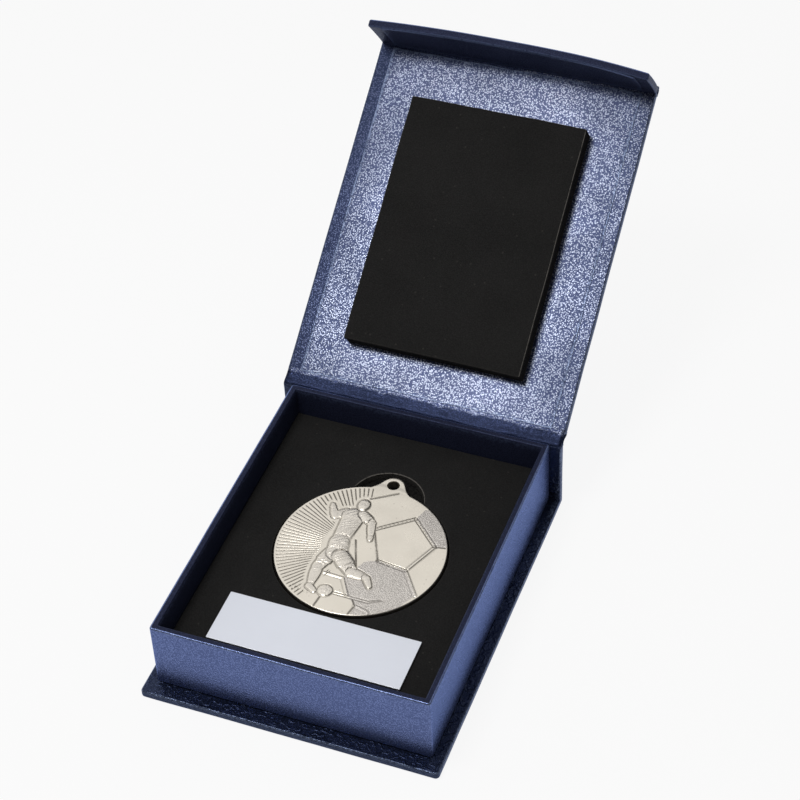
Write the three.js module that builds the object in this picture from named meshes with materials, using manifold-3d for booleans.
// A book-style presentation case, open, with a round medal and a blank engraving plate in its foam insert.
// Millimetres, +Z up, +Y towards the hinge. The origin is the middle of the base's underside.
import * as THREE from "three";
import { mergeVertices } from "three/addons/utils/BufferGeometryUtils.js";
import Module from "manifold-3d";

const wasm = await Module();
wasm.setup();

// Cover panels: greyboard between two skins of leatherette
const caseWidth = 88.5;
const caseDepth = 109.6;
const boardThickness = 1.5;
const skinThickness = 0.35;
const glueLine = 0.1;
const panelCorner = 1.2;
const panelEdge = 0.5;
const baseTurnIn = 12;
const coverMargin = 4;
const seamGap = 0.15;

// Tray
const frontLedge = 4.7;
const sideLedge = 3.25;
const spineClearance = 0.2;
const rimHeight = 25.2;
const trayBoard = 1.2;
const trayCorner = 0.9;
const rimEdge = 0.5;
const rimTurnIn = 13;
const footTurnIn = 7;

// Insert
const foamBaseThickness = 9;
const dieCutFoam = 2;
const velourThickness = 0.4;
const insertClearance = 0.3;

// How the insert's spare depth is shared out: in front of the plate, between plate and medal, the rest behind
const plateMarginShare = 0.255;
const medalMarginShare = 0.069;

// Medal
const medalDiameter = 50;
const medalThickness = 3;
const medalEdge = 0.3;
const medalSeatGap = 0.2;
const loopRise = 1.7;
const loopHole = 3.2;
const loopRadius = 3.5;
const loopFoot = 6.4;
const loopThickness = 2.6;
const pocketClearance = 0.5;
const notchRadius = 11;
const notchClearance = 1.8;

// Medal relief
const reliefDepth = 0.3;
const seamWidth = 0.5;
const rimBand = 0.7;
const figureHeight = 0.35;

// Engraving plate
const plateWidth = 57.4;
const plateDepth = 17.6;
const plateThickness = 0.6;
const plateCorner = 0.25;
const tapeThickness = 0.15;
const tapeInset = 1;

// Lid, its hinge and its pad
const lidGap = 0.6;
const hingeOverhang = 0.4;
const hingeRadius = 1.1;
const flapSetBack = 1.5;
const lidOpenDegrees = 145;
const padSideMargin = 16.35;
const padHingeMargin = 13.7;
const padFlapMargin = 16.6;
const padThickness = 6;
const padCorner = 1.6;

// Flap, its fold and its magnets
const flapHeight = 17;
const foldRadius = 0.6;
const creaseGap = 0.3;
const magnetDiameter = 10;
const magnetThickness = 1.3;
const keeperThickness = 1;
const magnetSpacing = 44;
const magnetFromFold = 8.5;
const discClearance = 0.2;

// One length that every through cut may run past its piece
const overrun = 1;

// Facets of round outlines
const cornerFacets = 4;
const edgeFacets = 2;
const roundFacets = 72;
const smallFacets = 24;

// Sizes worked out from the ones above
const layer = skinThickness + glueLine;
const panelThickness = boardThickness + 2 * layer;
const trayWall = trayBoard + 2 * layer;
const trayWidth = caseWidth - 2 * sideLedge;
const trayDepth = caseDepth - frontLedge - panelThickness - spineClearance;
const trayFront = -caseDepth / 2 + frontLedge;
const trayRear = trayFront + trayDepth;
const trayMiddle = (trayFront + trayRear) / 2;
const trayFoot = panelThickness + glueLine;
const floorHeight = trayFoot + layer;
const foamBaseHeight = floorHeight + trayBoard + glueLine;
const dieCutHeight = foamBaseHeight + foamBaseThickness + glueLine;
const velourHeight = dieCutHeight + dieCutFoam + glueLine;
const insertFace = velourHeight + velourThickness;
const medalHeight = foamBaseHeight + foamBaseThickness + medalSeatGap;
const medalRadius = medalDiameter / 2;
const loopReach = medalRadius + loopRise;
const notchReach = loopReach + loopRadius + notchClearance - notchRadius;
const insertWidth = trayWidth - 2 * (trayWall + insertClearance);
const insertDepth = trayDepth - 2 * (trayWall + insertClearance);
const spareDepth = insertDepth - plateDepth - medalRadius - loopReach - loopRadius;
const insertFront = trayMiddle - insertDepth / 2;
const plateForward = insertFront + plateMarginShare * spareDepth + plateDepth / 2;
const medalForward = plateForward + plateDepth / 2 + medalMarginShare * spareDepth + medalRadius;
const hingeHeight = rimHeight + lidGap;
const hingeBack = caseDepth / 2 + hingeOverhang;
const spineHeight = hingeHeight - hingeRadius - creaseGap - panelThickness - glueLine;
const lidStart = hingeRadius + creaseGap;
const lidLength = hingeBack + caseDepth / 2 - flapSetBack;
const lidPanelLength = lidLength - creaseGap - lidStart;
const padWidth = caseWidth - 2 * padSideMargin;
const padLength = lidLength - padHingeMargin - padFlapMargin;
const padMiddle = padHingeMargin + padLength / 2;
const foldAlong = lidLength + panelThickness - foldRadius;
const foldBelow = panelThickness - foldRadius;
const flapStart = foldBelow + creaseGap;
const flapPanelLength = flapHeight - creaseGap;
const magnetAlong = foldBelow + magnetFromFold;
const keeperHeight = hingeHeight - magnetFromFold;

// The rays fan over the left of the medal, between these two directions
const rayCount = 46;
const rayFirstDegrees = 102;
const rayLastDegrees = 244;
const rayWidthShare = 0.31;
const rayStartShare = 0.36;

// A large ball's five-sided panel on the right of the medal, with its place, size and outer seams
// as shares of the medal's radius
const panelSides = 5;
const panelRightShare = 0.424;
const panelUpShare = 0.216;
const panelRadiusShare = 0.412;
const seamRunShare = 0.38;

// The figure's limbs on the medal, from end to end with a radius at each, as shares of the medal's radius
const limbShares = [
  [-0.2, 0.67, 0.092, -0.2, 0.655, 0.085],
  [-0.215, 0.6, 0.045, -0.235, 0.53, 0.06],
  [-0.26, 0.44, 0.15, -0.25, 0.13, 0.115],
  [-0.255, 0.04, 0.14, -0.235, -0.1, 0.14],
  [-0.37, 0.47, 0.062, -0.51, 0.4, 0.048],
  [-0.51, 0.4, 0.048, -0.56, 0.53, 0.038],
  [-0.15, 0.48, 0.06, 0.0, 0.37, 0.048],
  [0.0, 0.37, 0.048, 0.05, 0.22, 0.036],
  [-0.31, -0.12, 0.095, -0.36, -0.4, 0.075],
  [-0.36, -0.4, 0.072, -0.39, -0.67, 0.046],
  [-0.39, -0.7, 0.048, -0.29, -0.735, 0.04],
  [-0.17, -0.12, 0.095, 0.03, -0.3, 0.075],
  [0.03, -0.3, 0.07, 0.21, -0.46, 0.046],
  [0.23, -0.49, 0.048, 0.33, -0.44, 0.04],
];
const smallBallShares = [0.1, -0.67, 0.1];

const leatherette = { color: 0x3c4682, roughness: 0.42, metalness: 0.25 };
const liningColour = { color: 0x4a5590, roughness: 0.4, metalness: 0.3 };
const greyboard = { color: 0x8d8a82, roughness: 0.9, metalness: 0 };
const foamBlack = { color: 0x191919, roughness: 0.95, metalness: 0 };
const velourBlack = { color: 0x141414, roughness: 1, metalness: 0 };
const tapeWhite = { color: 0xd8d6cc, roughness: 0.7, metalness: 0 };
const plateSilver = { color: 0xd2d6e2, roughness: 0.35, metalness: 0.6 };
const medalSilver = { color: 0xcfc8b8, roughness: 0.3, metalness: 0.9 };
const magnetNickel = { color: 0xb8b8b8, roughness: 0.3, metalness: 1 };
const keeperSteel = { color: 0x9a9c9e, roughness: 0.4, metalness: 1 };

// A closed three.js geometry as a solid that can be joined and cut.
function solidOf(geometry) {
  geometry.deleteAttribute("normal");
  geometry.deleteAttribute("uv");
  const merged = mergeVertices(geometry);
  return new wasm.Manifold(
    new wasm.Mesh({
      numProp: 3,
      vertProperties: merged.attributes.position.array,
      triVerts: new Uint32Array(merged.index.array),
    }),
  );
}

// A solid as a named three.js mesh.
function meshOf(name, solid, look) {
  const made = solid.getMesh();
  const geometry = new THREE.BufferGeometry();
  geometry.setAttribute("position", new THREE.BufferAttribute(made.vertProperties, 3));
  geometry.setIndex(new THREE.BufferAttribute(made.triVerts, 1));
  geometry.computeVertexNormals();
  const mesh = new THREE.Mesh(geometry, new THREE.MeshStandardMaterial(look));
  mesh.name = name;
  return mesh;
}

// A group at a place, holding the meshes or groups given.
function groupAt(x, y, z, ...children) {
  const group = new THREE.Group();
  group.position.set(x, y, z);
  group.add(...children);
  return group;
}

// A box by its size, centred on X and Y and standing on Z = 0 before it is moved.
function box(width, depth, height, x = 0, y = 0, z = 0) {
  const geometry = new THREE.BoxGeometry(width, depth, height);
  return solidOf(geometry.translate(x, y, z + height / 2));
}

// A rectangle with round corners, centred on the origin.
function roundedRectangle(width, depth, corner) {
  const shape = new THREE.Shape();
  const right = width / 2 - corner;
  const back = depth / 2 - corner;
  shape.absarc(right, back, corner, 0, Math.PI / 2, false);
  shape.absarc(-right, back, corner, Math.PI / 2, Math.PI, false);
  shape.absarc(-right, -back, corner, Math.PI, 1.5 * Math.PI, false);
  shape.absarc(right, -back, corner, 1.5 * Math.PI, 2 * Math.PI, false);
  return shape;
}

// A slab with round corners and, where an edge radius is given, rounded top and bottom edges.
function slab(width, depth, height, corner, edge = 0, z = 0) {
  const geometry = new THREE.ExtrudeGeometry(roundedRectangle(width, depth, corner), {
    depth: height - 2 * edge,
    curveSegments: cornerFacets,
    bevelEnabled: edge > 0,
    bevelThickness: edge,
    bevelSize: edge,
    bevelOffset: -edge,
    bevelSegments: edgeFacets,
  });
  return solidOf(geometry.translate(0, 0, z + edge));
}

// A disc or plug on the Z axis, moved to a place.
function disc(radius, height, facets, x = 0, y = 0, z = 0) {
  const geometry = new THREE.CylinderGeometry(radius, radius, height, facets);
  geometry.rotateX(Math.PI / 2);
  return solidOf(geometry.translate(x, y, z + height / 2));
}

// A round bar along X.
function bar(radius, length) {
  const geometry = new THREE.CylinderGeometry(radius, radius, length, smallFacets);
  return solidOf(geometry.rotateZ(Math.PI / 2));
}

// A flat shape pulled up from a height.
function raised(shape, height, z = 0) {
  const options = { depth: height, bevelEnabled: false, curveSegments: cornerFacets };
  return solidOf(new THREE.ExtrudeGeometry(shape, options).translate(0, 0, z));
}

// Leatherette turned round a panel lying with its outer face on Z = 0. The inner face has an open window.
function panelSkin(width, length, windowWidth, windowLength) {
  const inside = 2 * skinThickness;
  const hollow = slab(width - inside, length - inside, panelThickness - inside, panelCorner - skinThickness);
  const window = box(windowWidth, windowLength, panelThickness);
  return slab(width, length, panelThickness, panelCorner, panelEdge)
    .subtract(hollow.translate([0, 0, skinThickness]))
    .subtract(window.translate([0, 0, panelThickness / 2]));
}

// The greyboard inside a panel of that size.
function panelBoard(width, length) {
  return slab(width - 2 * layer, length - 2 * layer, boardThickness, panelCorner - layer, 0, layer);
}

// The lining sheet that fills a panel's window.
function panelLiner(width, length) {
  const linerWidth = width - 2 * (coverMargin + seamGap);
  return box(linerWidth, length - 2 * layer, skinThickness, 0, 0, panelThickness - skinThickness);
}

// The skin of a panel whose lining fills it from end to end between two side margins.
function linedSkin(width, length) {
  return panelSkin(width, length, width - 2 * coverMargin, length - 2 * skinThickness);
}

function makeBase() {
  const skin = panelSkin(caseWidth, caseDepth, caseWidth - 2 * baseTurnIn, caseDepth - 2 * baseTurnIn);
  return [
    meshOf("base_board", panelBoard(caseWidth, caseDepth), greyboard),
    meshOf("base_cover", skin, leatherette),
  ];
}

// The spine stands on the base with its outer face flush with the base's rear edge.
function makeSpine() {
  const spine = groupAt(
    0,
    caseDepth / 2,
    panelThickness + glueLine + spineHeight / 2,
    meshOf("spine_board", panelBoard(caseWidth, spineHeight), greyboard),
    meshOf("spine_cover", linedSkin(caseWidth, spineHeight), leatherette),
    meshOf("spine_lining", panelLiner(caseWidth, spineHeight), liningColour),
  );
  spine.rotation.x = Math.PI / 2;
  return spine;
}

// The tray's outline, inset from its outside, pulled up from a height.
function trayBlock(inset, height, z) {
  const corner = Math.max(trayCorner - inset, trayCorner / 2);
  return slab(trayWidth - 2 * inset, trayDepth - 2 * inset, height, corner, 0, z);
}

// A box inside the tray's outline, inset from its outside.
function trayCore(inset, height, z) {
  return box(trayWidth - 2 * inset, trayDepth - 2 * inset, height, 0, 0, z);
}

// The upright space between two outlines of the tray, given as insets from its outside.
function trayRing(outerInset, innerInset, height, z) {
  const hole = trayCore(innerInset, height + 2 * overrun, z - overrun);
  return trayBlock(outerInset, height, z).subtract(hole);
}

// One leatherette wrap: outside of the walls, over the rim and down inside, and under the floor board.
function trayWrapSolid() {
  const below = rimEdge + overrun;
  const height = rimHeight - trayFoot + below;
  const walls = slab(trayWidth, trayDepth, height, trayCorner, rimEdge, trayFoot - below);
  const footTop = trayFoot + skinThickness;
  const turnInFoot = rimHeight - rimTurnIn;
  const cutFrom = turnInFoot - overrun;
  const slotHeight = rimHeight - skinThickness - cutFrom;
  const cuts = [
    trayCore(-overrun, below + overrun, trayFoot - below - overrun),
    trayBlock(skinThickness, turnInFoot - footTop, footTop),
    trayRing(skinThickness, trayWall - skinThickness, slotHeight, cutFrom),
    trayCore(trayWall, rimTurnIn + 2 * overrun, cutFrom),
    trayCore(footTurnIn, skinThickness + 2 * overrun, trayFoot - overrun),
  ];
  return cuts.reduce((all, cut) => all.subtract(cut), walls);
}

// The four wall boards stand inside the wrap, the front and rear ones between the side ones.
function makeTray() {
  const boardHeight = rimHeight - layer - floorHeight;
  const ring = trayRing(layer, layer + trayBoard, boardHeight, floorHeight);
  const sideMiddle = (trayWidth - trayBoard) / 2 - layer;
  const endMiddle = (trayDepth - trayBoard) / 2 - layer;
  const endWidth = trayWidth - 2 * (layer + trayBoard + glueLine);
  const side = (x) => ring.intersect(box(trayBoard, trayDepth, boardHeight, x, 0, floorHeight));
  const end = (y) => box(endWidth, trayBoard, boardHeight, 0, y, floorHeight);
  const floorDepth = trayDepth - 2 * (layer + trayBoard + glueLine);
  const plug = (radius, length, x) => {
    const upright = disc(radius, length, smallFacets, x).rotate([90, 0, 0]);
    return upright.translate([0, -endMiddle + length / 2, keeperHeight]);
  };
  const hole = (x) => plug(magnetDiameter / 2 + discClearance, trayBoard + 2 * overrun, x);
  const sides = [-magnetSpacing / 2, magnetSpacing / 2];
  const front = sides.reduce((board, x) => board.subtract(hole(x)), end(-endMiddle));
  const keeper = (name, x) => meshOf(name, plug(magnetDiameter / 2, keeperThickness, x), keeperSteel);
  return groupAt(
    0,
    trayMiddle,
    0,
    meshOf("tray_floor_board", box(endWidth, floorDepth, trayBoard, 0, 0, floorHeight), greyboard),
    meshOf("tray_front_board", front, greyboard),
    meshOf("tray_rear_board", end(endMiddle), greyboard),
    meshOf("tray_left_board", side(-sideMiddle), greyboard),
    meshOf("tray_right_board", side(sideMiddle), greyboard),
    meshOf("tray_wrap", trayWrapSolid(), leatherette),
    keeper("keeper_left", sides[0]),
    keeper("keeper_right", sides[1]),
  );
}

// The medal's recess: a round pocket, widened by a round notch behind the medal's loop.
function pocketSolid() {
  const y = medalForward - trayMiddle;
  const height = insertFace - foamBaseHeight;
  const pocket = disc(medalRadius + pocketClearance, height, roundFacets, 0, y, dieCutHeight - overrun);
  const notch = disc(notchRadius, height, roundFacets, 0, y + notchReach, dieCutHeight - overrun);
  return pocket.add(notch);
}

function makeInsert() {
  const pocket = pocketSolid();
  const sheet = (thickness, z) => box(insertWidth, insertDepth, thickness, 0, 0, z);
  return groupAt(
    0,
    trayMiddle,
    0,
    meshOf("foam_base", sheet(foamBaseThickness, foamBaseHeight), foamBlack),
    meshOf("foam_insert", sheet(dieCutFoam, dieCutHeight).subtract(pocket), foamBlack),
    meshOf("insert_velour", sheet(velourThickness, velourHeight).subtract(pocket), velourBlack),
  );
}

function makePlate() {
  const tape = box(plateWidth - 2 * tapeInset, plateDepth - 2 * tapeInset, tapeThickness);
  const plate = slab(plateWidth, plateDepth, plateThickness, plateCorner, 0, tapeThickness);
  return groupAt(
    0,
    plateForward,
    insertFace,
    meshOf("plate_tape", tape, tapeWhite),
    meshOf("engraving_plate", plate, plateSilver),
  );
}

// The outline round two circles and their outer tangents.
function limbOutline(x1, y1, r1, x2, y2, r2) {
  const along = Math.atan2(y2 - y1, x2 - x1);
  const spread = Math.acos((r1 - r2) / Math.hypot(x2 - x1, y2 - y1));
  const shape = new THREE.Shape();
  shape.absarc(x1, y1, r1, along + spread, along - spread + 2 * Math.PI, false);
  shape.absarc(x2, y2, r2, along - spread, along + spread, false);
  return shape;
}

// A groove between two points of the medal's face, cut from above.
function groove(x1, y1, x2, y2, startWidth, endWidth) {
  const turn = Math.atan2(y2 - y1, x2 - x1) + Math.PI / 2;
  const shape = new THREE.Shape();
  const corner = (x, y, width) => [x + (width / 2) * Math.cos(turn), y + (width / 2) * Math.sin(turn)];
  shape.moveTo(...corner(x1, y1, startWidth));
  shape.lineTo(...corner(x1, y1, -startWidth));
  shape.lineTo(...corner(x2, y2, -endWidth));
  shape.lineTo(...corner(x2, y2, endWidth));
  return raised(shape, reliefDepth + overrun, medalThickness - reliefDepth);
}

// Radial grooves fan over the left of the face.
function rayGrooves() {
  const rays = [];
  const step = ((rayLastDegrees - rayFirstDegrees) * Math.PI) / 180 / (rayCount - 1);
  const start = rayStartShare * medalRadius;
  const reach = medalRadius - rimBand;
  for (let i = 0; i < rayCount; i += 1) {
    const a = (rayFirstDegrees * Math.PI) / 180 + i * step;
    const at = (radius) => [radius * Math.cos(a), radius * Math.sin(a)];
    const width = (radius) => radius * step * rayWidthShare;
    rays.push(groove(...at(start), ...at(reach), width(start), width(reach)));
  }
  return rays;
}

// The seams of a ball's five-sided panel, and the seams that run out from its corners.
function ballGrooves() {
  const seams = [];
  const corner = (i, share) => {
    const a = Math.PI / 2 + (i * 2 * Math.PI) / panelSides;
    const [x, y] = [panelRightShare + share * Math.cos(a), panelUpShare + share * Math.sin(a)];
    return [x * medalRadius, y * medalRadius];
  };
  const reach = medalRadius - rimBand;
  for (let i = 0; i < panelSides; i += 1) {
    const [x1, y1] = corner(i, panelRadiusShare);
    const [x2, y2] = corner(i, panelRadiusShare + seamRunShare);
    const keep = Math.min(1, reach / Math.hypot(x2, y2));
    seams.push(groove(x1, y1, ...corner(i + 1, panelRadiusShare), seamWidth, seamWidth));
    seams.push(groove(x1, y1, x2 * keep, y2 * keep, seamWidth, seamWidth));
  }
  return seams;
}

// The kicking figure and the small ball at its foot stand up from the face.
function figureSolid() {
  const height = reliefDepth + figureHeight;
  const z = medalThickness - reliefDepth;
  const [ballX, ballY, ballR] = smallBallShares.map((share) => share * medalRadius);
  return limbShares
    .map((limb) => raised(limbOutline(...limb.map((share) => share * medalRadius)), height, z))
    .reduce((all, limb) => all.add(limb), disc(ballR, height, smallFacets, ballX, ballY, z));
}

// The loop swells out of the medal's edge to a round end with a hole.
function loopSolid() {
  const foot = medalRadius - loopRadius / 2;
  const shape = new THREE.Shape();
  shape.moveTo(-loopFoot, foot);
  shape.lineTo(loopFoot, foot);
  shape.quadraticCurveTo(loopRadius, loopReach - loopRadius / 2, loopRadius, loopReach);
  shape.absarc(0, loopReach, loopRadius, 0, Math.PI, false);
  shape.quadraticCurveTo(-loopRadius, loopReach - loopRadius / 2, -loopFoot, foot);
  const options = { depth: loopThickness, bevelEnabled: false, curveSegments: smallFacets / 2 };
  return solidOf(new THREE.ExtrudeGeometry(shape, options));
}

// The medal is turned about Z, with its edges broken and its relief on the upper face.
function medalSolid() {
  const profile = [
    [0, 0],
    [medalRadius - medalEdge, 0],
    [medalRadius, medalEdge],
    [medalRadius, medalThickness - medalEdge],
    [medalRadius - medalEdge, medalThickness],
    [0, medalThickness],
  ].map(([x, y]) => new THREE.Vector2(x, y));
  const turned = new THREE.LatheGeometry(profile, roundFacets);
  const body = solidOf(turned.rotateX(Math.PI / 2)).add(loopSolid());
  const hole = disc(loopHole / 2, medalThickness + 2 * overrun, smallFacets, 0, loopReach, -overrun);
  const grooves = [...rayGrooves(), ...ballGrooves()];
  return grooves.reduce((all, cut) => all.subtract(cut), body.subtract(hole)).add(figureSolid());
}

function makeMedal() {
  return groupAt(0, medalForward, medalHeight, meshOf("medal", medalSolid(), medalSilver));
}

// The pad lies on the lining: a foam slab with a flocked face sheet.
function makeLidPad() {
  const foamThickness = padThickness - velourThickness - 2 * glueLine;
  const foam = slab(padWidth, padLength, foamThickness, padCorner, 0, glueLine);
  const face = slab(padWidth, padLength, 2 * velourThickness, padCorner, velourThickness - glueLine);
  const under = box(padWidth + overrun, padLength + overrun, velourThickness + overrun, 0, 0, -overrun);
  const sheet = face.subtract(under).translate([0, 0, padThickness - 2 * velourThickness]);
  return groupAt(
    0,
    padMiddle,
    0,
    meshOf("lid_pad_foam", foam, foamBlack),
    meshOf("lid_pad_velour", sheet, velourBlack),
  );
}

// The flap is drawn in line with the lid, with the fold's axis as its origin, and stands up at rest.
function makeFlap() {
  const middle = flapStart + flapPanelLength / 2;
  const magnetY = magnetAlong - middle;
  const sides = [-magnetSpacing / 2, magnetSpacing / 2];
  const hole = (x) => disc(magnetDiameter / 2 + discClearance, panelThickness, smallFacets, x, magnetY);
  const board = sides.reduce((all, x) => all.subtract(hole(x)), panelBoard(caseWidth, flapPanelLength));
  const magnetZ = (panelThickness - magnetThickness) / 2;
  const magnet = (x) => disc(magnetDiameter / 2, magnetThickness, smallFacets, x, magnetY, magnetZ);
  const tongueLength = flapStart - foldRadius - creaseGap + panelEdge;
  const tongueY = foldRadius + creaseGap + tongueLength / 2 - middle;
  const tongue = box(caseWidth - 2 * panelCorner, tongueLength, skinThickness, 0, tongueY);
  const flap = groupAt(
    0,
    foldAlong,
    -foldBelow,
    groupAt(
      0,
      middle,
      -foldRadius,
      meshOf("flap_board", board, greyboard),
      meshOf("flap_cover", linedSkin(caseWidth, flapPanelLength).add(tongue), leatherette),
      meshOf("flap_liner", panelLiner(caseWidth, flapPanelLength), liningColour),
      meshOf("flap_magnet_left", magnet(sides[0]), magnetNickel),
      meshOf("flap_magnet_right", magnet(sides[1]), magnetNickel),
    ),
  );
  flap.rotation.x = Math.PI / 2;
  return flap;
}

// The lid is drawn open and level, lining up, with the hinge's axis as its origin.
function makeLid() {
  const middle = lidStart + lidPanelLength / 2;
  const tongueLength = foldAlong - foldRadius - lidLength + panelEdge;
  const tongueY = lidLength - creaseGap - panelEdge + tongueLength / 2 - middle;
  const tongue = box(caseWidth - 2 * panelCorner, tongueLength, skinThickness, 0, tongueY);
  const crease = groupAt(
    0,
    foldAlong,
    -foldBelow,
    meshOf("flap_hinge_strip", bar(foldRadius, caseWidth - 2 * panelCorner), leatherette),
  );
  const lid = groupAt(
    0,
    hingeBack,
    hingeHeight,
    meshOf("lid_hinge_strip", bar(hingeRadius, caseWidth - 2 * panelCorner), leatherette),
    groupAt(
      0,
      middle,
      -panelThickness,
      meshOf("lid_board", panelBoard(caseWidth, lidPanelLength), greyboard),
      meshOf("lid_cover", linedSkin(caseWidth, lidPanelLength).add(tongue), leatherette),
      meshOf("lid_liner", panelLiner(caseWidth, lidPanelLength), liningColour),
    ),
    makeLidPad(),
    crease,
    makeFlap(),
  );
  lid.rotation.x = ((180 - lidOpenDegrees) * Math.PI) / 180;
  return lid;
}

const casedMedal = new THREE.Group();
casedMedal.add(...makeBase(), makeSpine(), makeTray(), makeInsert(), makePlate(), makeMedal(), makeLid());

export default casedMedal;
